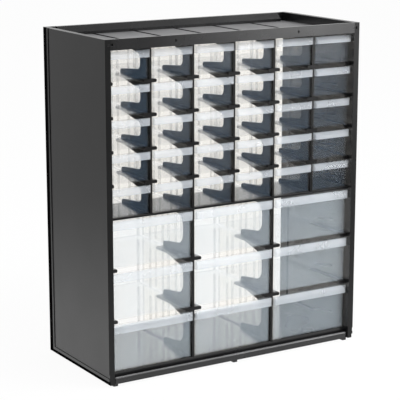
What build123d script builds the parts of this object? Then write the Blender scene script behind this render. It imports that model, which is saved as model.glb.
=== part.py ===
from build123d import *
import os

# Parts cabinet with thirty small and nine large clear drawers, in millimetres with +Z up.
# The front faces -Y, and the origin is on the floor, under the middle of the cabinet.

# Layout of the drawer bays
small_columns = 6
small_rows = 5
large_rows = 3
small_bays_per_large = 2
bay_width = 55.8
small_bay_height = 36.5
top_bay_height = 37.9
large_bay_height = 59.7

# Side panels
cabinet_depth = 163.0
panel_thickness = 7.6
shell_thickness = 2.6
front_stile_depth = 12.0
rail_overlap = 3.0
rebate_depth = 1.6
rear_rebate_width = 12.0
bottom_rebate_height = 5.0
bead_width = 3.5
border_groove_width = 5.0
border_groove_depth = 0.8

# Inner grid: partitions, runners and middle shelf
grid_recess = 9.0
web_depth = 22.0
runner_length = 71.0
partition_thickness = 3.0
runner_thickness = 4.0
small_runner_width = 7.0
large_runner_width = 10.0
runner_edge_radius = 1.4
shelf_thickness = 3.0
window_corner_radius = 14.0
arm_end_radius = 4.0
cut_overrun = 4.0

# Largest share of a wall's height that one rounded corner may take
corner_share = 0.42

# Tapered arms, measured from the floor and the ceiling of a bay
small_arm_rise_front = 9.3
small_arm_rise_rear = 4.8
small_arm_drop_front = 10.5
small_arm_drop_rear = 1.5
large_arm_rise_front = 12.9
large_arm_rise_rear = 6.2
large_arm_drop_front = 13.3
large_arm_drop_rear = 2.0

# Top tray
tray_floor_thickness = 2.0
tray_depth = 11.0
beam_thickness = 3.5
joint_notch_in_beam = 3.0
joint_notch_in_panel = 4.0
joint_notch_height = 3.2
joint_notch_depth = 1.6
beam_dimple_radius = 1.6
beam_dimple_depth = 1.5
rear_rim_depth = 13.0
rear_rim_top = 5.5
rear_rim_step = 3.5
rear_rim_wall = 2.4
slot_rear_margin = 14.0
stacking_pocket_width = 10.0
stacking_pocket_rib = 1.2
stacking_pocket_rib_inset = 7.2

# Base panel
base_height = 13.4
base_floor_thickness = 2.5
base_wall = 2.5
base_lip_height = 8.5
base_lip_thickness = 4.8
base_lip_recess = 1.8
base_lip_end_gap = 1.2
base_lip_radius = 2.0
trough_floor_height = 3.5
trough_floor_thickness = 2.5
foot_height = 3.0
foot_width = 6.5
foot_inset = 6.2
foot_corner_radius = 1.5

# Tongues that hold the pieces together
tongue_length = 3.0
tongue_width = 14.0
tongue_spread = 40.0
tongue_height = 1.2
tongue_gap = 0.15

# Drawers
drawer_recess = 10.0
drawer_length = 132.0
drawer_side_gap = 0.65
drawer_headroom = 1.1
drawer_floor_gap = 0.1
drawer_wall = 1.4
drawer_front_wall = 1.8
drawer_corner_radius = 3.0
drawer_bottom_radius = 1.0
lip_reach = 5.5
small_lip_height = 9.0
large_lip_height = 10.6
lip_wall = 1.5
lip_end_radius = 3.0
lip_brow_share = 0.45
lip_brow_setback = 2.2
divider_rib_reach = 1.1
divider_rib_thickness = 1.0
divider_slot_width = 2.2
divider_rib_headroom = 4.0
small_compartments = 3
large_compartments = 4

# Derived places across the cabinet
large_columns = small_columns // small_bays_per_large
column_pitch = bay_width + partition_thickness
inner_width = small_columns * bay_width + (small_columns - 1) * partition_thickness
cabinet_width = inner_width + 2 * panel_thickness
inner_half = inner_width / 2
outer_half = cabinet_width / 2

# Derived places from front to back
front = -cabinet_depth / 2
back = cabinet_depth / 2
grid_front = front + grid_recess
web_back = grid_front + web_depth
arm_back = grid_front + runner_length
drawer_front = front + drawer_recess
rim_front = back - rear_rim_depth

# Derived heights
floor_level = foot_height + base_height
base_floor_z = (floor_level - base_floor_thickness, floor_level)
large_floors = [floor_level + row * (large_bay_height + runner_thickness) for row in range(large_rows)]
shelf_bottom = large_floors[-1] + large_bay_height
shelf_top = shelf_bottom + shelf_thickness
small_floors = [shelf_top + row * (small_bay_height + runner_thickness) for row in range(small_rows)]
tray_bottom = small_floors[-1] + top_bay_height
tray_floor = tray_bottom + tray_floor_thickness
cabinet_top = tray_floor + tray_depth
beam_middle = (tray_bottom + cabinet_top) / 2
joint_notch_z = (beam_middle - joint_notch_height / 2, beam_middle + joint_notch_height / 2)
small_heights = [small_bay_height] * (small_rows - 1) + [top_bay_height]


def block(x, y, z):
    """A box between the low and high ends given for each axis."""
    size = (x[1] - x[0], y[1] - y[0], z[1] - z[0])
    return Pos(x[0], y[0], z[0]) * Box(*size, align=(Align.MIN, Align.MIN, Align.MIN))


def side_profile(points, x, thickness):
    """A plate across X, starting at x, with an outline of (y, z) points."""
    return extrude(Pos(x, 0, 0) * (Plane.YZ * Polygon(*points, align=None)), thickness, dir=(1, 0, 0))


def partition_x(count):
    """The middle of the partition that stands after this many small bays."""
    return -inner_half + count * column_pitch - partition_thickness / 2


def small_window(bay_floor, bay_height):
    """The opening behind the web of a small bay, as floor and ceiling heights at its two ends."""
    ceiling = bay_floor + bay_height
    return (
        bay_floor + small_arm_rise_front,
        bay_floor + small_arm_rise_rear,
        ceiling - small_arm_drop_rear,
        ceiling - small_arm_drop_front,
    )


def large_window(bay_floor):
    """The opening behind the web of a large bay, as floor and ceiling heights at its two ends."""
    ceiling = bay_floor + large_bay_height
    return (
        bay_floor + large_arm_rise_front,
        bay_floor + large_arm_rise_rear,
        ceiling - large_arm_drop_rear,
        ceiling - large_arm_drop_front,
    )


small_windows = [small_window(*bay) for bay in zip(small_floors, small_heights)]
large_windows = [large_window(bay_floor) for bay_floor in large_floors]


def arm_rounding(bottom, windows):
    """The radius at the ends of the arms, limited by the thinnest arm and by the lowest one."""
    arm_heights = [above[1] - below[2] for below, above in zip(windows, windows[1:])]
    lowest_arm = windows[0][1] - bottom
    return min(arm_end_radius, corner_share * min(arm_heights), 2 * corner_share * lowest_arm)


def comb_outline(bottom, top, windows):
    """The web and arms of a partition as a face of (y, z), with an open-ended window in each bay."""
    outline = Polygon(
        (grid_front, bottom), (arm_back, bottom), (arm_back, top), (grid_front, top), align=None
    )
    past_end = arm_back + cut_overrun
    taper = (past_end - web_back) / (arm_back - web_back)
    for low_front, low_rear, high_rear, high_front in windows:
        low_end = low_front + (low_rear - low_front) * taper
        high_end = high_front + (high_rear - high_front) * taper
        rear_corners = [(past_end, low_end), (past_end, high_end)]
        window = Polygon((web_back, low_front), *rear_corners, (web_back, high_front), align=None)
        radius = min(window_corner_radius, corner_share * (high_front - low_front))
        outline -= fillet(window.vertices().group_by(Axis.X)[0], radius)
    lowest = (bottom + windows[0][1]) / 2
    highest = (windows[-1][1] + windows[-1][2]) / 2
    end_corners = outline.vertices().group_by(Axis.X)[-1]
    arm_corners = [corner for corner in end_corners if lowest < corner.Y < highest]
    return fillet(arm_corners, arm_rounding(bottom, windows))


def comb_plate(x, thickness, bottom, top, windows):
    """A comb outline made solid, starting at x."""
    outline = comb_outline(bottom, top, windows)
    return extrude(Pos(x, 0, 0) * (Plane.YZ * outline), thickness, dir=(1, 0, 0))


def runner(face_x, direction, level, width):
    """A ledge that stands out from a face, with its flat top at the given level."""
    ledge = block((0, width), (grid_front, arm_back), (level - runner_thickness, level))
    radius = min(runner_edge_radius, corner_share * runner_thickness)
    ledge = fillet(ledge.edges().filter_by(Axis.Y).group_by(Axis.X)[-1], radius)
    if direction < 0:
        ledge = mirror(ledge, about=Plane.YZ)
    return Pos(face_x, 0, 0) * ledge


def tongue_pocket(x, y_middle, width, z):
    """The room that a tongue needs, with its gap all round."""
    half = width / 2 + tongue_gap
    return block(x, (y_middle - half, y_middle + half), (z[0] - tongue_gap, z[1] + tongue_gap))


def end_tongues(y_middles, width, z):
    """A tongue at both ends of a cross piece, at each of the given places."""
    tongues = []
    for y_middle in y_middles:
        across = (y_middle - width / 2, y_middle + width / 2)
        tongues.append(block((inner_half, inner_half + tongue_length), across, z))
        tongues.append(block((-inner_half - tongue_length, -inner_half), across, z))
    return tongues


tray_tongue_places = (-tongue_spread, tongue_spread)
base_tongue_places = (-tongue_spread, tongue_spread)
shelf_tongue_places = (grid_front + web_depth / 2,)


def right_side_panel():
    """Moulded side shell with stiles, rails, runner arms and a bordered outer face."""
    shell_x = outer_half - shell_thickness
    pad_thickness = panel_thickness - shell_thickness
    inner_x = (inner_half, outer_half)
    panel = block((shell_x, outer_half), (front, back), (foot_height, cabinet_top))
    panel += block(inner_x, (front, front + front_stile_depth), (foot_height, cabinet_top))
    rear_jog_x = (shell_x - rebate_depth, outer_half)
    panel += block(rear_jog_x, (back - rear_rebate_width - bead_width, back), (foot_height, cabinet_top))
    panel += block(inner_x, (front, back), (foot_height, floor_level + rail_overlap))
    panel += block(inner_x, (front, back), (tray_bottom - rail_overlap, cabinet_top))
    panel += comb_plate(inner_half, pad_thickness, floor_level, tray_bottom, large_windows + small_windows)
    for level in large_floors[1:]:
        panel += runner(inner_half, -1, level, large_runner_width)
    for level in small_floors[1:]:
        panel += runner(inner_half, -1, level, small_runner_width)

    # Pockets for the tongues of the tray, the base and the shelf
    pocket_x = (inner_half, inner_half + tongue_length + tongue_gap)
    for place in tray_tongue_places:
        panel -= tongue_pocket(pocket_x, place, tongue_width, (tray_bottom, tray_floor))
    for place in base_tongue_places:
        panel -= tongue_pocket(pocket_x, place, tongue_width, base_floor_z)
    for place in shelf_tongue_places:
        panel -= tongue_pocket(pocket_x, place, tongue_width, (shelf_bottom, shelf_top))

    # Notch at the joint with the beam
    notch_x = (inner_half, inner_half + joint_notch_in_panel)
    panel -= block(notch_x, (front, front + joint_notch_depth), joint_notch_z)

    # Rebate along the rear and bottom of the outer face, then a bead and a shallow groove
    rebate_x = (outer_half - rebate_depth, outer_half)
    panel -= block(rebate_x, (back - rear_rebate_width, back), (foot_height, cabinet_top))
    panel -= block(rebate_x, (front, back), (foot_height, foot_height + bottom_rebate_height))
    groove_x = (outer_half - border_groove_depth, outer_half)
    groove_back = back - rear_rebate_width - bead_width
    groove_bottom = foot_height + bottom_rebate_height + bead_width
    rear_groove_y = (groove_back - border_groove_width, groove_back)
    panel -= block(groove_x, rear_groove_y, (groove_bottom, cabinet_top))
    panel -= block(groove_x, (front, groove_back), (groove_bottom, groove_bottom + border_groove_width))
    return panel


def partition(count, bottom, top, floors, windows, runner_width):
    """A comb plate with a runner on both faces at each row and a tongue at its foot and its head."""
    middle = partition_x(count)
    left_face = middle - partition_thickness / 2
    right_face = middle + partition_thickness / 2
    plate = comb_plate(left_face, partition_thickness, bottom, top, windows)
    for level in floors[1:]:
        plate += runner(left_face, -1, level, runner_width)
        plate += runner(right_face, 1, level, runner_width)
    plate += block((left_face, right_face), (grid_front, web_back), (bottom - tongue_height, bottom))
    plate += block((left_face, right_face), (grid_front, web_back), (top, top + tongue_height))
    return plate


def partition_groove(count, z, y_end):
    """The room for a partition's tongue, from just ahead of the grid's front to y_end."""
    middle = partition_x(count)
    half = partition_thickness / 2 + tongue_gap
    return block((middle - half, middle + half), (grid_front - tongue_gap, y_end), z)


upper_partitions = range(1, small_columns)
lower_partitions = range(small_bays_per_large, small_columns, small_bays_per_large)


def rear_rim():
    """Sloped rear rim of the tray, hollow from below, with a stacking pocket at each end."""
    step_top = tray_floor + rear_rim_step
    rim_back = back - rear_rim_top
    outline = [(rim_front, tray_bottom), (rim_front, step_top), (rim_back, cabinet_top)]
    outline += [(back, cabinet_top), (back, tray_bottom)]
    rim = side_profile(outline, -inner_half, inner_width)
    hollow_front = rim_front + rear_rim_wall
    hollow_back = back - rear_rim_wall
    hollow_top = cabinet_top - rear_rim_wall
    hollow = [(hollow_front, tray_bottom), (hollow_front, step_top - rear_rim_wall / 2)]
    hollow += [(rim_back, hollow_top), (hollow_back, hollow_top), (hollow_back, tray_bottom)]
    hollow_half = inner_half - stacking_pocket_width - rear_rim_wall
    rim -= side_profile(hollow, -hollow_half, 2 * hollow_half)
    for side in (-1, 1):
        pocket_x = sorted((side * (inner_half - stacking_pocket_width), side * inner_half))
        rim -= block(pocket_x, (rim_front, hollow_back), (tray_floor, cabinet_top))
        rib_middle = side * (inner_half - stacking_pocket_rib_inset)
        rib_x = (rib_middle - stacking_pocket_rib / 2, rib_middle + stacking_pocket_rib / 2)
        rim += block(rib_x, (rim_back, hollow_back), (tray_floor, cabinet_top))
    return rim


def top_tray():
    """Shallow tray: floor with a slot over each partition, front beam and rear rim."""
    across = (-inner_half, inner_half)
    tray = block(across, (front, back), (tray_bottom, tray_floor))
    tray += block(across, (front, front + beam_thickness), (tray_bottom, cabinet_top))
    rim = rear_rim()
    tray -= block(across, (rim_front, back), (tray_bottom, tray_floor))
    tray += rim
    tray += end_tongues(tray_tongue_places, tongue_width, (tray_bottom, tray_floor))
    for count in upper_partitions:
        tray -= partition_groove(count, (tray_bottom, tray_floor), back - slot_rear_margin)

    # Notches at the ends of the beam, and a dimple over the second and the last but one column
    notch_y = (front, front + joint_notch_depth)
    tray -= block((inner_half - joint_notch_in_beam, inner_half), notch_y, joint_notch_z)
    tray -= block((-inner_half, joint_notch_in_beam - inner_half), notch_y, joint_notch_z)
    dimple_x = inner_half - column_pitch - bay_width / 2
    dimple = Rot(90, 0, 0) * Cylinder(beam_dimple_radius, beam_dimple_depth)
    for x in (-dimple_x, dimple_x):
        tray -= Pos(x, front + beam_dimple_depth / 2, beam_middle) * dimple
    return tray


def base_panel():
    """Floor of the cabinet with a front lip, a trough behind it, a rear skirt and six stacking pegs."""
    across = (-inner_half, inner_half)
    lip_front = front + base_lip_recess
    trough_bottom = foot_height + trough_floor_height
    trough_z = (trough_bottom, trough_bottom + trough_floor_thickness)
    base = block(across, (grid_front, back), base_floor_z)
    base += block(across, (grid_front, grid_front + base_wall), (trough_bottom, floor_level))
    base += block(across, (lip_front + base_lip_thickness / 2, grid_front + base_wall), trough_z)
    base += block(across, (back - base_wall, back), (foot_height, floor_level))
    lip_x = (base_lip_end_gap - inner_half, inner_half - base_lip_end_gap)
    lip_z = (foot_height, foot_height + base_lip_height)
    lip = block(lip_x, (lip_front, lip_front + base_lip_thickness), lip_z)
    lip_radius = min(base_lip_radius, corner_share * base_lip_thickness)
    lip = fillet(lip.edges().filter_by(Axis.Z), lip_radius)
    base += fillet(lip.edges().group_by(Axis.Z)[-1], lip_radius)
    foot_x = inner_half - foot_width / 2
    for x in (-foot_x, 0, foot_x):
        base += foot(x, front + foot_inset, trough_bottom)
        base += foot(x, back - foot_inset, base_floor_z[0])
    base += end_tongues(base_tongue_places, tongue_width, base_floor_z)
    groove_z = (floor_level - tongue_height - tongue_gap, floor_level)
    for count in lower_partitions:
        base -= partition_groove(count, groove_z, web_back + tongue_gap)
    return base


def foot(x, y, top):
    """A square peg with rounded corners, from the floor up to the underside that carries it."""
    peg = Box(foot_width, foot_width, top, align=(Align.CENTER, Align.CENTER, Align.MIN))
    return Pos(x, y, 0) * fillet(peg.edges().filter_by(Axis.Z), foot_corner_radius)


def middle_shelf():
    """Shelf between the sections, with grooves above and below for the partitions' tongues."""
    shelf = block((-inner_half, inner_half), (grid_front, arm_back), (shelf_bottom, shelf_top))
    shelf += end_tongues(shelf_tongue_places, tongue_width, (shelf_bottom, shelf_top))
    groove_depth = tongue_height + tongue_gap
    for count in upper_partitions:
        shelf -= partition_groove(count, (shelf_top - groove_depth, shelf_top), web_back + tongue_gap)
    for count in lower_partitions:
        shelf -= partition_groove(count, (shelf_bottom, shelf_bottom + groove_depth), web_back + tongue_gap)
    return shelf


def brow_cut(width, height, lip_height, inset):
    """The wedge that slopes the upper part of a lip, moved back by an inset."""
    low = height - lip_brow_share * lip_height
    slope_front = inset - lip_reach
    slope_back = slope_front + lip_brow_setback
    ahead = -lip_reach - cut_overrun
    above = height + cut_overrun
    wedge = [(ahead, low), (slope_front, low), (slope_back, height), (slope_back, above), (ahead, above)]
    return side_profile(wedge, -width / 2 - cut_overrun, width + 2 * cut_overrun)


def drawer_lip(width, height, lip_height):
    """Hollow finger lip along the top of a drawer's front, with a sloped brow, open underneath."""
    lip_bottom = height - lip_height
    lip = block((-width / 2, width / 2), (-lip_reach, drawer_front_wall), (lip_bottom, height))
    lip = fillet(lip.edges().filter_by(Axis.Z).group_by(Axis.Y)[0], lip_end_radius)
    lip -= brow_cut(width, height, lip_height, 0)
    inner = width / 2 - lip_wall
    hollow = block((-inner, inner), (lip_wall - lip_reach, 0), (lip_bottom, height - lip_wall))
    hollow = fillet(hollow.edges().filter_by(Axis.Z).group_by(Axis.Y)[0], lip_end_radius - lip_wall)
    return lip - (hollow - brow_cut(width, height, lip_height, lip_wall))


def drawer(width, height, lip_height, compartments):
    """Open-topped clear drawer. Its front face is at y = 0 and its underside at z = 0."""
    half = width / 2
    tub = block((-half, half), (0, drawer_length), (0, height))
    tub = fillet(tub.edges().filter_by(Axis.Z), drawer_corner_radius)
    tub = fillet(tub.edges().group_by(Axis.Z)[0], drawer_bottom_radius)
    inside_half = half - drawer_wall
    inside_y = (drawer_front_wall, drawer_length - drawer_wall)
    inside = block((-inside_half, inside_half), inside_y, (drawer_wall, height))
    tub -= fillet(inside.edges().filter_by(Axis.Z), drawer_corner_radius - drawer_wall)

    # Pairs of ribs on both walls, with a slot between them for a divider
    inside_length = inside_y[1] - inside_y[0]
    rib_offset = (divider_slot_width + divider_rib_thickness) / 2
    rib_z = (drawer_wall, height - divider_rib_headroom)
    for slot in range(1, compartments):
        slot_y = inside_y[0] + slot * inside_length / compartments
        for rib_middle in (slot_y - rib_offset, slot_y + rib_offset):
            rib_y = (rib_middle - divider_rib_thickness / 2, rib_middle + divider_rib_thickness / 2)
            tub += block((inside_half - divider_rib_reach, inside_half), rib_y, rib_z)
            tub += block((-inside_half, divider_rib_reach - inside_half), rib_y, rib_z)
    return tub + drawer_lip(width, height, lip_height)


def save(name, shape):
    """Write one piece under its own name."""
    export_step(shape, f"parts/{name}.step")


os.makedirs("parts", exist_ok=True)

right_panel = right_side_panel()
save("right_side_panel", right_panel)
save("left_side_panel", mirror(right_panel, about=Plane.YZ))
save("top_tray", top_tray())
save("base_panel", base_panel())
save("middle_shelf", middle_shelf())
for number, count in enumerate(upper_partitions, start=1):
    plate = partition(count, shelf_top, tray_bottom, small_floors, small_windows, small_runner_width)
    save(f"upper_partition_{number}", plate)
for number, count in enumerate(lower_partitions, start=1):
    plate = partition(count, floor_level, shelf_bottom, large_floors, large_windows, large_runner_width)
    save(f"lower_partition_{number}", plate)

small_width = bay_width - 2 * drawer_side_gap
small_drawer = drawer(small_width, small_bay_height - drawer_headroom, small_lip_height, small_compartments)
for row, bay_floor in enumerate(reversed(small_floors), start=1):
    for column in range(small_columns):
        x = -inner_half + column * column_pitch + bay_width / 2
        placed = Pos(x, drawer_front, bay_floor + drawer_floor_gap) * small_drawer
        save(f"small_drawer_row{row}_column{column + 1}", placed)

large_bay_width = small_bays_per_large * column_pitch - partition_thickness
large_width = large_bay_width - 2 * drawer_side_gap
large_drawer = drawer(large_width, large_bay_height - drawer_headroom, large_lip_height, large_compartments)
for row, bay_floor in enumerate(reversed(large_floors), start=1):
    for column in range(large_columns):
        x = -inner_half + column * small_bays_per_large * column_pitch + large_bay_width / 2
        placed = Pos(x, drawer_front, bay_floor + drawer_floor_gap) * large_drawer
        save(f"large_drawer_row{row}_column{column + 1}", placed)
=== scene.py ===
import math

import bmesh
import bpy
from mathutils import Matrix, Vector


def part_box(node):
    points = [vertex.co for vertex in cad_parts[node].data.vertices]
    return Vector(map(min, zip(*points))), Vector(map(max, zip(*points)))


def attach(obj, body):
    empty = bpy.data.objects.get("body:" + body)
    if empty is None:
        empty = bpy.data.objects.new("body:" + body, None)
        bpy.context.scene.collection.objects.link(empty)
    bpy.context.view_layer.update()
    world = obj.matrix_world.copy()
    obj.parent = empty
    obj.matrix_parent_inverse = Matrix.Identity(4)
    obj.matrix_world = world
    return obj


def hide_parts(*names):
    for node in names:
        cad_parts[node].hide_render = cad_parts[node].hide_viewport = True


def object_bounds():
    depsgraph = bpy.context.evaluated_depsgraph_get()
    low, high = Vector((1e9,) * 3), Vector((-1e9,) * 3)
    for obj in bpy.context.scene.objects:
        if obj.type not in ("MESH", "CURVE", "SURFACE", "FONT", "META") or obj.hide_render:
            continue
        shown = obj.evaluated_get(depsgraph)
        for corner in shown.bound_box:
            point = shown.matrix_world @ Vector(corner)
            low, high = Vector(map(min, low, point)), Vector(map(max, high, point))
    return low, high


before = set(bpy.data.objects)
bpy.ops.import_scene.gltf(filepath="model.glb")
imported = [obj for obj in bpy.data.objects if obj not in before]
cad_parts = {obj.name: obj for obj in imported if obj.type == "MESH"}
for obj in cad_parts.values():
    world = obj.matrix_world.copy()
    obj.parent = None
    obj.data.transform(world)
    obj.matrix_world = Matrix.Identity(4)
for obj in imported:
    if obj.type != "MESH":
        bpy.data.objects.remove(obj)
cad_low, cad_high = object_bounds()

# Pieces of the cabinet, by the finish they share
side_panels = ["left_side_panel", "right_side_panel"]
upper_partitions = [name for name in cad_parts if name.startswith("upper_partition")]
partitions = [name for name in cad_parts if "partition" in name]
small_drawers = [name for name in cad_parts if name.startswith("small_drawer")]
large_drawers = [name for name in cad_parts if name.startswith("large_drawer")]

# Edge softening of the moulded pieces, in metres
frame_edge = 0.0005
drawer_edge = 0.0003
edge_segments = 2

# What counts as one place, in metres, and as flat or sharp, in radians
same_place = 1e-6
flat_limit = math.radians(1.0)
sharp_limit = math.radians(38.0)

# Places that have a finish of their own, in metres, and the largest rib face, in square metres. The
# rebates and tray slots carry painted shade, the tray floor a painted sheen and the base lip a painted
# highlight.
rebate_depth = 0.0016
rebate_play = 0.0003
tray_depth = 0.008
tray_slot_reach = 0.0026
base_lip_depth = 0.006
lip_reach = 0.0053
front_wall = 0.0024
rib_area = 0.0001

# How far a face points along an axis, where one is straight along it
square_on = 0.9
slot_wall_turn = 0.3
base_lip_turn = 0.2

# Order of the two finishes that every piece has
face_slot = 0
edge_slot = 1

# Order of the other finishes on a black piece
painted_shade_slot = 2
lip_highlight_slot = 2
tray_sheen_slot = 3
stile_slot = 3
inside_slot = 4

# Order of the other finishes on a drawer
lip_slot = 2
front_slot = 3
rib_slot = 4

# Node sockets that share a name and are told apart by number
mix_first_color = 6
mix_second_color = 7
mix_color_result = 2
compare_first_number = 2
compare_second_number = 3

# Noise: the range that most of its values lie in
noise_low = 0.3
noise_high = 0.7

# Black plastic: scales of its mottle, gloss and grain per metre, and the grain's height in metres
mottle_scale = 24.0
gloss_scale = 11.0
grain_scale = 1500.0
grain_height = 0.00015
black_plastic_ior = 1.43

# Clear plastic: colour of the view through it, and the share of its haze that passes light on
clear_view = (1.0, 0.996, 0.988)
light_through = 0.28

# Clear plastic: scales of its streaks, polish, ripples and clouds per metre
streak_scale = 45.0
polish_scale = 18.0
ripple_scale = 30.0
cloud_scale = 30.0

# Clear plastic: strength of the streaks, polish and ripples, with the ripples' height in metres
streak_step = 0.04
polish_roughness = (0.06, 0.16)
ripple_strength = 0.05
ripple_height = 0.001

# Clear plastic: share of mirror gloss face on and edge on, how late it rises, and the facing node's blend
mirror_share = (0.008, 0.9)
mirror_falloff = 5.0
even_facing = 0.5

# Studio light levels, where one is white
white = (1.0, 1.0, 1.0, 1.0)
room_light = 0.65
front_room = 0.2
near_floor = 1.25
far_floor = 0.6
paper_white = 0.95
paper_glow = 0.94

# Where the floor changes brightness, in metres, and where the room does, as a direction
floor_reach = 12.0
floor_front = (-1.0, -0.2)
floor_fade = (0.3, 1.0)
room_front = (-0.4, 0.2)

# Point that the lamps face, in metres
lamp_target = (0.0, 0.0, 0.2)

# Camera, in metres and degrees, with its lens and sensor in millimetres
camera_place = (-0.9935, -1.6003, 0.6196)
camera_turn = 31.72
camera_tilt = 12.70
camera_lens = 135.8
sensor_width = 36.0


def add_node(tree, kind, **settings):
    """A node with its properties set."""
    node = tree.nodes.new(kind)
    for name, value in settings.items():
        setattr(node, name, value)
    return node


def fill_socket(tree, socket, value):
    """Set a socket to a plain value, or link it to another socket."""
    if isinstance(value, bpy.types.NodeSocket):
        tree.links.new(value, socket)
    else:
        socket.default_value = value


def empty_tree(owner):
    """The node tree of a material or a world, with nothing in it."""
    owner.use_nodes = True
    owner.node_tree.nodes.clear()
    return owner.node_tree


def new_material(name):
    """A node material with a shader, an output and the piece's own coordinates."""
    material = bpy.data.materials.new(name)
    tree = empty_tree(material)
    output = add_node(tree, "ShaderNodeOutputMaterial")
    shader = add_node(tree, "ShaderNodeBsdfPrincipled")
    place = add_node(tree, "ShaderNodeTexCoord")
    tree.links.new(shader.outputs["BSDF"], output.inputs["Surface"])
    return material, tree, shader, place.outputs["Object"]


def noise(tree, place, scale, detail):
    """Smooth random grain at a scale per metre."""
    node = add_node(tree, "ShaderNodeTexNoise")
    node.inputs["Scale"].default_value = scale
    node.inputs["Detail"].default_value = detail
    tree.links.new(place, node.inputs["Vector"])
    return node.outputs["Fac"]


def spread(tree, value, low, high, start=noise_low, end=noise_high):
    """A value stretched to run from low to high. Either may be a number or a socket."""
    node = add_node(tree, "ShaderNodeMapRange")
    node.inputs["From Min"].default_value = start
    node.inputs["From Max"].default_value = end
    fill_socket(tree, node.inputs["To Min"], low)
    fill_socket(tree, node.inputs["To Max"], high)
    tree.links.new(value, node.inputs["Value"])
    return node.outputs["Result"]


def by_share(tree, share, low, high):
    """A value that runs from low to high as a share runs from zero to one."""
    return spread(tree, share, low, high, 0.0, 1.0)


def blend_colors(tree, share, first, second):
    """A colour between two others."""
    node = add_node(tree, "ShaderNodeMix", data_type="RGBA")
    tree.links.new(share, node.inputs["Factor"])
    node.inputs[mix_first_color].default_value = (*first, 1.0)
    node.inputs[mix_second_color].default_value = (*second, 1.0)
    return node.outputs[mix_color_result]


def add_bump(tree, shader, height, strength, distance):
    """Fine relief from a height value."""
    node = add_node(tree, "ShaderNodeBump")
    node.inputs["Strength"].default_value = strength
    node.inputs["Distance"].default_value = distance
    tree.links.new(height, node.inputs["Height"])
    tree.links.new(node.outputs["Normal"], shader.inputs["Normal"])
    return node.outputs["Normal"]


def black_moulded_plastic(name, dark, pale, roughness, grain, shine=0.5):
    """Black plastic with a fine satin grain and uneven gloss."""
    material, tree, shader, place = new_material(name)
    mottle = spread(tree, noise(tree, place, mottle_scale, detail=4.0), 0.0, 1.0)
    tree.links.new(blend_colors(tree, mottle, dark, pale), shader.inputs["Base Color"])
    gloss = spread(tree, noise(tree, place, gloss_scale, detail=5.0), *roughness)
    tree.links.new(gloss, shader.inputs["Roughness"])
    shader.inputs["IOR"].default_value = black_plastic_ior
    shader.inputs["Specular IOR Level"].default_value = shine
    add_bump(tree, shader, noise(tree, place, grain_scale, detail=2.0), grain, grain_height)
    return material


def mix_shaders(tree, share, first, second):
    """A mix of two shaders. The share of the second is a number or a socket."""
    node = add_node(tree, "ShaderNodeMixShader")
    fill_socket(tree, node.inputs["Fac"], share)
    tree.links.new(first, node.inputs[1])
    tree.links.new(second, node.inputs[2])
    return node.outputs["Shader"]


def turned_away(tree):
    """A share that grows from zero to one as a surface turns away, as gloss does."""
    turned = add_node(tree, "ShaderNodeLayerWeight")
    turned.inputs["Blend"].default_value = even_facing
    falloff = add_node(tree, "ShaderNodeMath", operation="POWER")
    falloff.inputs[1].default_value = mirror_falloff
    tree.links.new(turned.outputs["Facing"], falloff.inputs[0])
    return falloff.outputs["Value"]


def milky_haze(tree, shader, tint, place):
    """The milk in clear plastic: a streaky tint that is lit from both sides."""
    streaks = spread(tree, noise(tree, place, streak_scale, detail=5.0), 0.0, 1.0)
    pale = tuple(min(1.0, part + streak_step) for part in tint)
    tree.links.new(blend_colors(tree, streaks, tint, pale), shader.inputs["Base Color"])
    shader.inputs["Specular IOR Level"].default_value = 0.0
    glow_through = add_node(tree, "ShaderNodeBsdfTranslucent")
    glow_through.inputs["Color"].default_value = white
    return mix_shaders(tree, light_through, shader.outputs["BSDF"], glow_through.outputs["BSDF"])


def clear_moulded_plastic(name, tint, haze):
    """Clear plastic: a thin milky haze under a smooth gloss."""
    material, tree, shader, place = new_material(name)
    output = shader.outputs["BSDF"].links[0].to_node
    roughness = spread(tree, noise(tree, place, polish_scale, detail=6.0), *polish_roughness)
    tree.links.new(roughness, shader.inputs["Roughness"])
    ripples = noise(tree, place, ripple_scale, detail=1.0)
    relief = add_bump(tree, shader, ripples, ripple_strength, ripple_height)
    milk = milky_haze(tree, shader, tint, place)
    gap = add_node(tree, "ShaderNodeBsdfTransparent")
    gap.inputs["Color"].default_value = (*clear_view, 1.0)
    cloud = spread(tree, noise(tree, place, cloud_scale, detail=4.0), *haze)
    body = mix_shaders(tree, cloud, gap.outputs["BSDF"], milk)
    mirror = add_node(tree, "ShaderNodeBsdfGlossy")
    tree.links.new(roughness, mirror.inputs["Roughness"])
    tree.links.new(relief, mirror.inputs["Normal"])
    share = by_share(tree, turned_away(tree), *mirror_share)
    surface = mix_shaders(tree, share, body, mirror.outputs["BSDF"])
    tree.links.new(surface, output.inputs["Surface"])
    return material


def merged_mesh(node_name):
    """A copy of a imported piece's mesh with its triangles joined into whole faces."""
    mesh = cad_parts[node_name].data.copy()
    work = bmesh.new()
    work.from_mesh(mesh)
    bmesh.ops.remove_doubles(work, verts=work.verts, dist=same_place)
    bmesh.ops.dissolve_limit(work, angle_limit=flat_limit, verts=work.verts, edges=work.edges)
    work.to_mesh(mesh)
    work.free()
    return mesh


def cut_across(mesh, places):
    """Cut a mesh's faces at planes across it, without moving anything."""
    work = bmesh.new()
    work.from_mesh(mesh)
    across = (1.0, 0.0, 0.0)
    for place in places:
        parts = work.verts[:] + work.edges[:] + work.faces[:]
        start = (place, 0.0, 0.0)
        bmesh.ops.bisect_plane(work, geom=parts, dist=same_place, plane_co=start, plane_no=across)
    work.to_mesh(mesh)
    work.free()


def plain_object(name, mesh, *materials):
    """A mesh object at the origin with its materials."""
    mesh.materials.clear()
    for material in materials:
        mesh.materials.append(material)
    piece = bpy.data.objects.new(name, mesh)
    bpy.context.scene.collection.objects.link(piece)
    return piece


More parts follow.
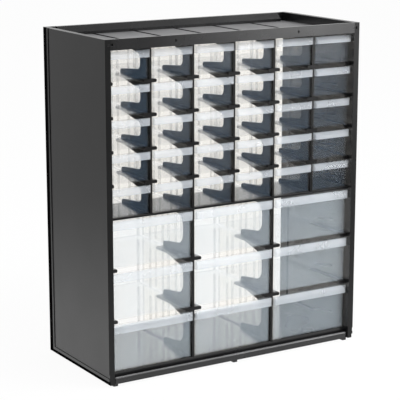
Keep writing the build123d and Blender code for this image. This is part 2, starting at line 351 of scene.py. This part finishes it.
def baked_mesh(piece):
    """The plain mesh that an object's modifiers give. The modifiers are then removed."""
    bpy.context.view_layer.update()
    evaluated = piece.evaluated_get(bpy.context.evaluated_depsgraph_get())
    mesh = bpy.data.meshes.new_from_object(evaluated)
    piece.modifiers.clear()
    return mesh


def softened_piece(node_name, finishes, edge_width, cuts=()):
    """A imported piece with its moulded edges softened, and the edges in their own finish."""
    mesh = merged_mesh(node_name)
    cut_across(mesh, cuts)
    mesh.shade_smooth()
    piece = plain_object("moulded_" + node_name, mesh, *finishes)
    bevel = piece.modifiers.new("soft_edges", "BEVEL")
    bevel.width = edge_width
    bevel.segments = edge_segments
    bevel.limit_method = "ANGLE"
    bevel.angle_limit = sharp_limit
    bevel.use_clamp_overlap = True
    bevel.material = edge_slot
    flat = piece.modifiers.new("flat_faces", "WEIGHTED_NORMAL")
    flat.mode = "FACE_AREA"
    flat.weight = 100
    piece.data = baked_mesh(piece)
    return piece


def paint_rebate_shade(mesh):
    """Give the recessed rear and bottom borders of a side panel the dull black of painted shade."""
    rebate_x = cad_high[0] - rebate_depth
    for face in mesh.polygons:
        if abs(face.normal.x) > square_on and abs(abs(face.center.x) - rebate_x) < rebate_play:
            face.material_index = painted_shade_slot


def finish_panel_inside(mesh):
    """Give the smooth inner faces of a side panel their own finish."""
    for face in mesh.polygons:
        if face.material_index == face_slot and face.normal.x * face.center.x < 0:
            face.material_index = inside_slot


def finish_stile(mesh, front):
    """Give the front of a side panel its own finish."""
    for face in mesh.polygons:
        if face.normal.y < -square_on and face.center.y < front + rebate_play:
            face.material_index = stile_slot


def slot_middle(node_name):
    """Where the tray's slot over a partition lies across the cabinet."""
    low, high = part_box(node_name)
    return (low[0] + high[0]) / 2


def in_tray_floor(face, top):
    """Whether a face of the tray is part of its floor."""
    return face.normal.z > square_on and face.center.z < top - tray_depth


def paint_tray_floor_sheen(mesh, top):
    """Give the floor of the tray a pale grey that is a painted sheen of reflected light."""
    for face in mesh.polygons:
        if in_tray_floor(face, top):
            face.material_index = tray_sheen_slot


def paint_tray_slot_shade(mesh, top, middle):
    """Give the walls and margins of a slot in the tray's floor the dull black of painted shade."""
    for face in mesh.polygons:
        beside = abs(face.center.x - middle) < tray_slot_reach
        if beside and (in_tray_floor(face, top) or abs(face.normal.x) > slot_wall_turn):
            face.material_index = painted_shade_slot


def paint_slot_filling_shade(mesh, top):
    """Give the top of a partition, which fills the tray's slot where it has one, the dull black of
    painted shade.
    """
    for face in mesh.polygons:
        if face.normal.z > square_on and face.center.z > top - rebate_play:
            face.material_index = painted_shade_slot


def paint_base_lip_highlight(mesh, front):
    """Give the rounded top of the base's front lip a paler finish that is a painted highlight."""
    for face in mesh.polygons:
        rounded = face.normal.z > base_lip_turn and face.normal.y < -base_lip_turn
        if rounded and face.center.y < front + base_lip_depth:
            face.material_index = lip_highlight_slot


def finish_drawer(mesh, front):
    """Give the finger lip, the front wall and the inner ribs of a drawer their own finishes."""
    for face in mesh.polygons:
        depth = face.center.y - front
        upright = abs(face.normal.y) > square_on
        if depth > lip_reach + front_wall and face.area < rib_area:
            face.material_index = rib_slot
        elif face.material_index == face_slot and depth < lip_reach:
            face.material_index = lip_slot
        elif face.material_index == face_slot and upright and depth < lip_reach + front_wall:
            face.material_index = front_slot


def note_finishes(mesh):
    """Keep the number of each face's finish, for the tree that repeats the drawer."""
    numbers = [face.material_index for face in mesh.polygons]
    mesh.attributes.new("finish", "INT", "FACE").data.foreach_set("value", numbers)


def hand_over(piece, node_name, body):
    """Let a finished piece stand for a packed one."""
    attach(piece, body)
    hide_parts(node_name)


def set_finish(tree, geometry, number, finish):
    """Give a finish to the faces that carry its number."""
    carried = add_node(tree, "GeometryNodeInputNamedAttribute", data_type="INT")
    carried.inputs["Name"].default_value = "finish"
    chosen = add_node(tree, "FunctionNodeCompare", data_type="INT", operation="EQUAL")
    tree.links.new(carried.outputs["Attribute"], chosen.inputs[compare_first_number])
    chosen.inputs[compare_second_number].default_value = number
    paint = add_node(tree, "GeometryNodeSetMaterial")
    paint.inputs["Material"].default_value = finish
    tree.links.new(geometry, paint.inputs["Geometry"])
    tree.links.new(chosen.outputs["Result"], paint.inputs["Selection"])
    return paint.outputs["Geometry"]


def placing_tree(name, finishes):
    """A tree that sets a copy of a master drawer into its own bay."""
    tree = bpy.data.node_groups.new(name, "GeometryNodeTree")
    sockets = tree.interface
    sockets.new_socket("Geometry", in_out="OUTPUT", socket_type="NodeSocketGeometry")
    master = sockets.new_socket("Master drawer", in_out="INPUT", socket_type="NodeSocketObject")
    offset = sockets.new_socket("Bay offset", in_out="INPUT", socket_type="NodeSocketVector")
    inputs = add_node(tree, "NodeGroupInput")
    output = add_node(tree, "NodeGroupOutput")
    info = add_node(tree, "GeometryNodeObjectInfo")
    move = add_node(tree, "GeometryNodeTransform")
    realize = add_node(tree, "GeometryNodeRealizeInstances")
    tree.links.new(inputs.outputs["Master drawer"], info.inputs["Object"])
    tree.links.new(info.outputs["Geometry"], move.inputs["Geometry"])
    tree.links.new(inputs.outputs["Bay offset"], move.inputs["Translation"])
    tree.links.new(move.outputs["Geometry"], realize.inputs["Geometry"])
    geometry = realize.outputs["Geometry"]
    for number, finish in enumerate(finishes):
        geometry = set_finish(tree, geometry, number, finish)
    tree.links.new(geometry, output.inputs["Geometry"])
    return tree, master.identifier, offset.identifier


def fill_bays(node_names, finishes):
    """One finished drawer, repeated in every bay of its size."""
    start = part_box(node_names[0])[0]
    master = softened_piece(node_names[0], finishes, drawer_edge)
    finish_drawer(master.data, start[1])
    note_finishes(master.data)
    tree, master_input, offset_input = placing_tree("drawer_in_bay", finishes)
    for node_name in node_names:
        piece = plain_object("clear_" + node_name, bpy.data.meshes.new(node_name))
        bay = piece.modifiers.new("bay", "NODES")
        bay.node_group = tree
        bay[master_input] = master
        bay[offset_input] = tuple(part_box(node_name)[0] - start)
        piece.data = baked_mesh(piece)
        hand_over(piece, node_name, node_name)
    bpy.data.objects.remove(master)


def outer_finishes():
    """The black finishes that show on the outside, by the place they are for."""
    return {
        "panel": black_moulded_plastic(
            "black_side_plastic", dark=(0.0035, 0.0035, 0.0037), pale=(0.005, 0.005, 0.0052),
            roughness=(0.28, 0.36), grain=0.12,
        ),
        # Paler softened edges of the side panels: partly wear and partly a painted highlight line
        "panel_edges": black_moulded_plastic(
            "worn_panel_edges_painted_highlight", dark=(0.02, 0.02, 0.021), pale=(0.06, 0.06, 0.062),
            roughness=(0.22, 0.36), grain=0.05,
        ),
        # Painted shade: a darker black with no shine, for the rebates, the tray's slots and the partition
        # tops in them
        "recess": black_moulded_plastic(
            "black_recess_painted_shade", dark=(0.0022, 0.0022, 0.0023), pale=(0.0036, 0.0036, 0.0038),
            roughness=(0.5, 0.62), grain=0.1, shine=0.0,
        ),
        "polished": black_moulded_plastic(
            "polished_black_plastic", dark=(0.009, 0.009, 0.0094), pale=(0.013, 0.013, 0.0136),
            roughness=(0.18, 0.28), grain=0.03,
        ),
        # Painted sheen: a pale grey that stands in for the light the tray floor reflects
        "tray_floor": black_moulded_plastic(
            "tray_floor_painted_sheen", dark=(0.12, 0.12, 0.124), pale=(0.17, 0.17, 0.175),
            roughness=(0.42, 0.55), grain=0.08,
        ),
        # Painted highlight: a paler, glossier black on the rounded top of the base lip
        "base_lip": black_moulded_plastic(
            "base_lip_painted_highlight", dark=(0.07, 0.07, 0.072), pale=(0.12, 0.12, 0.123),
            roughness=(0.14, 0.2), grain=0.02,
        ),
    }


def inner_finishes():
    """The black finishes that show between and behind the drawers, by the place they are for."""
    return {
        "inner": black_moulded_plastic(
            "black_inner_plastic", dark=(0.003, 0.003, 0.0032), pale=(0.005, 0.005, 0.0053),
            roughness=(0.28, 0.38), grain=0.08, shine=0.3,
        ),
        "panel_inside": black_moulded_plastic(
            "smooth_panel_inside", dark=(0.008, 0.008, 0.0084), pale=(0.014, 0.014, 0.0146),
            roughness=(0.16, 0.24), grain=0.02, shine=0.8,
        ),
        "inner_edges": black_moulded_plastic(
            "rubbed_inner_edges", dark=(0.006, 0.006, 0.0063), pale=(0.02, 0.02, 0.021),
            roughness=(0.25, 0.4), grain=0.05,
        ),
    }


def dress_side_panels(outer, inner):
    """The two side panels."""
    finishes = (
        outer["panel"], outer["panel_edges"], outer["recess"], inner["inner"], inner["panel_inside"]
    )
    for node_name in side_panels:
        piece = softened_piece(node_name, finishes, frame_edge)
        paint_rebate_shade(piece.data)
        finish_panel_inside(piece.data)
        finish_stile(piece.data, cad_low[1])
        hand_over(piece, node_name, "cabinet")


def dress_tray(outer, inner):
    """The top tray, with painted shade along its slots and a painted sheen on its floor."""
    slot_middles = [slot_middle(node_name) for node_name in upper_partitions]
    cuts = [middle + side * tray_slot_reach for middle in slot_middles for side in (-1, 1)]
    finishes = (outer["polished"], inner["inner_edges"], outer["recess"], outer["tray_floor"])
    tray = softened_piece("top_tray", finishes, frame_edge, cuts)
    paint_tray_floor_sheen(tray.data, cad_high[2])
    for middle in slot_middles:
        paint_tray_slot_shade(tray.data, cad_high[2], middle)
    hand_over(tray, "top_tray", "cabinet")


def dress_partitions(outer, inner):
    """The upright partitions of both sections."""
    finishes = (inner["inner"], inner["inner_edges"], outer["recess"])
    for node_name in partitions:
        piece = softened_piece(node_name, finishes, frame_edge)
        paint_slot_filling_shade(piece.data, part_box(node_name)[1][2])
        hand_over(piece, node_name, "cabinet")


def dress_base_and_shelf(outer, inner):
    """The base panel with its front lip, and the shelf between the two sections."""
    finishes = (outer["polished"], inner["inner_edges"], outer["base_lip"])
    base = softened_piece("base_panel", finishes, frame_edge)
    paint_base_lip_highlight(base.data, cad_low[1])
    hand_over(base, "base_panel", "cabinet")
    shelf = softened_piece("middle_shelf", (inner["inner"], inner["inner_edges"]), frame_edge)
    hand_over(shelf, "middle_shelf", "cabinet")


def dress_frame():
    """The black pieces of the cabinet."""
    outer = outer_finishes()
    inner = inner_finishes()
    dress_side_panels(outer, inner)
    dress_tray(outer, inner)
    dress_partitions(outer, inner)
    dress_base_and_shelf(outer, inner)


def dress_drawers():
    """The clear drawers, small and large."""
    walls = clear_moulded_plastic("clear_drawer_walls", tint=(0.72, 0.85, 1.0), haze=(0.003, 0.008))
    # Painted edge lines: the grey haze on the drawers' softened edges stands in for the lines that light
    # draws along clear plastic edges
    edges = clear_moulded_plastic("clear_drawer_painted_edge_lines", tint=(0.4, 0.46, 0.54), haze=(0.34, 0.44))
    lips = clear_moulded_plastic("clear_drawer_lips", tint=(0.74, 0.79, 0.85), haze=(0.26, 0.32))
    small_fronts = clear_moulded_plastic(
        "frosted_small_fronts", tint=(0.32, 0.6, 1.0), haze=(0.022, 0.03)
    )
    large_fronts = clear_moulded_plastic(
        "frosted_large_fronts", tint=(0.74, 0.87, 1.0), haze=(0.135, 0.165)
    )
    # Painted streaks: the ribs' grey haze stands in for the light and dark lines that the ribs show in
    # clear plastic
    ribs = clear_moulded_plastic("clear_drawer_ribs_painted_streaks", tint=(0.5, 0.53, 0.58), haze=(0.13, 0.19))
    fill_bays(small_drawers, (walls, edges, lips, small_fronts, ribs))
    fill_bays(large_drawers, (walls, edges, lips, large_fronts, ribs))


def ray_share(tree, *kinds):
    """One for the named kinds of ray, and zero for the others."""
    path = add_node(tree, "ShaderNodeLightPath")
    total = path.outputs[kinds[0]]
    for kind in kinds[1:]:
        node = add_node(tree, "ShaderNodeMath", operation="MAXIMUM")
        tree.links.new(total, node.inputs[0])
        tree.links.new(path.outputs[kind], node.inputs[1])
        total = node.outputs["Value"]
    return total


def depth_share(tree, coordinate, start, end):
    """The brightness of the room, which is darker in front of the cabinet than behind it."""
    place = add_node(tree, "ShaderNodeTexCoord")
    parts = add_node(tree, "ShaderNodeSeparateXYZ")
    tree.links.new(place.outputs[coordinate], parts.inputs["Vector"])
    return spread(tree, parts.outputs["Y"], front_room, 1.0, start, end)


def reach_share(tree):
    """The brightness of the floor, which is less far from the cabinet than near it."""
    place = add_node(tree, "ShaderNodeTexCoord")
    reach = add_node(tree, "ShaderNodeVectorMath", operation="LENGTH")
    tree.links.new(place.outputs["Object"], reach.inputs[0])
    return spread(tree, reach.outputs["Value"], near_floor, far_floor, *floor_fade)


def pale_floor():
    """White paper that glows where it is seen, and is dimmer in reflections."""
    material = bpy.data.materials.new("pale_floor")
    tree = empty_tree(material)
    output = add_node(tree, "ShaderNodeOutputMaterial")
    paper = add_node(tree, "ShaderNodeBsdfDiffuse")
    paper.inputs["Color"].default_value = (paper_white, paper_white, paper_white, 1.0)
    glow = add_node(tree, "ShaderNodeEmission")
    glow.inputs["Color"].default_value = white
    room = add_node(tree, "ShaderNodeMath", operation="MULTIPLY")
    tree.links.new(depth_share(tree, "Object", *floor_front), room.inputs[0])
    tree.links.new(reach_share(tree), room.inputs[1])
    level = by_share(tree, ray_share(tree, "Is Glossy Ray"), 1.0, room.outputs["Value"])
    tree.links.new(level, glow.inputs["Strength"])
    direct = ray_share(tree, "Is Camera Ray", "Is Transmission Ray", "Is Glossy Ray")
    share = by_share(tree, direct, 0.0, paper_glow)
    surface = mix_shaders(tree, share, paper.outputs["BSDF"], glow.outputs["Emission"])
    tree.links.new(surface, output.inputs["Surface"])
    return material


def studio_floor():
    """A wide pale floor that shows white and keeps a soft shadow."""
    mesh = bpy.data.meshes.new("studio_floor")
    corners = [(x * floor_reach, y * floor_reach, 0.0) for x, y in ((-1, -1), (1, -1), (1, 1), (-1, 1))]
    mesh.from_pydata(corners, [], [(0, 1, 2, 3)])
    plain_object("studio_floor", mesh, pale_floor())


def studio_world():
    """White surroundings that light the cabinet at a plain level."""
    world = bpy.data.worlds.new("studio")
    bpy.context.scene.world = world
    tree = empty_tree(world)
    output = add_node(tree, "ShaderNodeOutputWorld")
    sky = add_node(tree, "ShaderNodeBackground")
    sky.inputs["Color"].default_value = white
    direct = ray_share(tree, "Is Camera Ray", "Is Transmission Ray")
    level = by_share(tree, direct, room_light, 1.0)
    room = depth_share(tree, "Generated", *room_front)
    level = by_share(tree, ray_share(tree, "Is Glossy Ray"), level, room)
    tree.links.new(level, sky.inputs["Strength"])
    tree.links.new(sky.outputs["Background"], output.inputs["Surface"])


def softbox(name, place, size, power):
    """A large soft lamp that faces the cabinet."""
    lamp = bpy.data.lights.new(name, "AREA")
    lamp.shape = "RECTANGLE"
    lamp.size, lamp.size_y = size
    lamp.energy = power
    box = bpy.data.objects.new(name, lamp)
    bpy.context.scene.collection.objects.link(box)
    box.location = place
    box.rotation_euler = (Vector(lamp_target) - Vector(place)).to_track_quat("-Z", "Y").to_euler()


def studio_lamps():
    """Two soft lamps from the right, one low and one high, and a weak fill from the left."""
    softbox("key_softbox", place=(1.7, -1.65, 0.72), size=(1.3, 1.4), power=31.0)
    softbox("high_softbox", place=(0.6, -0.95, 1.7), size=(2.0, 0.7), power=24.0)
    softbox("fill_softbox", place=(-1.9, -0.6, 1.2), size=(1.2, 1.6), power=3.0)


def studio_camera():
    """The camera at the photograph's viewing angle."""
    lens = bpy.data.cameras.new("studio_camera")
    lens.lens = camera_lens
    lens.sensor_width = sensor_width
    lens.clip_start = 0.05
    lens.clip_end = 60.0
    camera = bpy.data.objects.new("studio_camera", lens)
    bpy.context.scene.collection.objects.link(camera)
    camera.location = camera_place
    camera.rotation_euler = (math.radians(90.0 - camera_tilt), 0.0, math.radians(-camera_turn))
    bpy.context.scene.camera = camera


def view_and_bounces():
    """A plain view of the colours, and enough bounces to see through a whole row of clear drawers."""
    scene = bpy.context.scene
    scene.view_settings.view_transform = "Standard"
    scene.cycles.transparent_max_bounces = 64


dress_frame()
dress_drawers()
studio_floor()
studio_world()
studio_lamps()
studio_camera()
view_and_bounces()
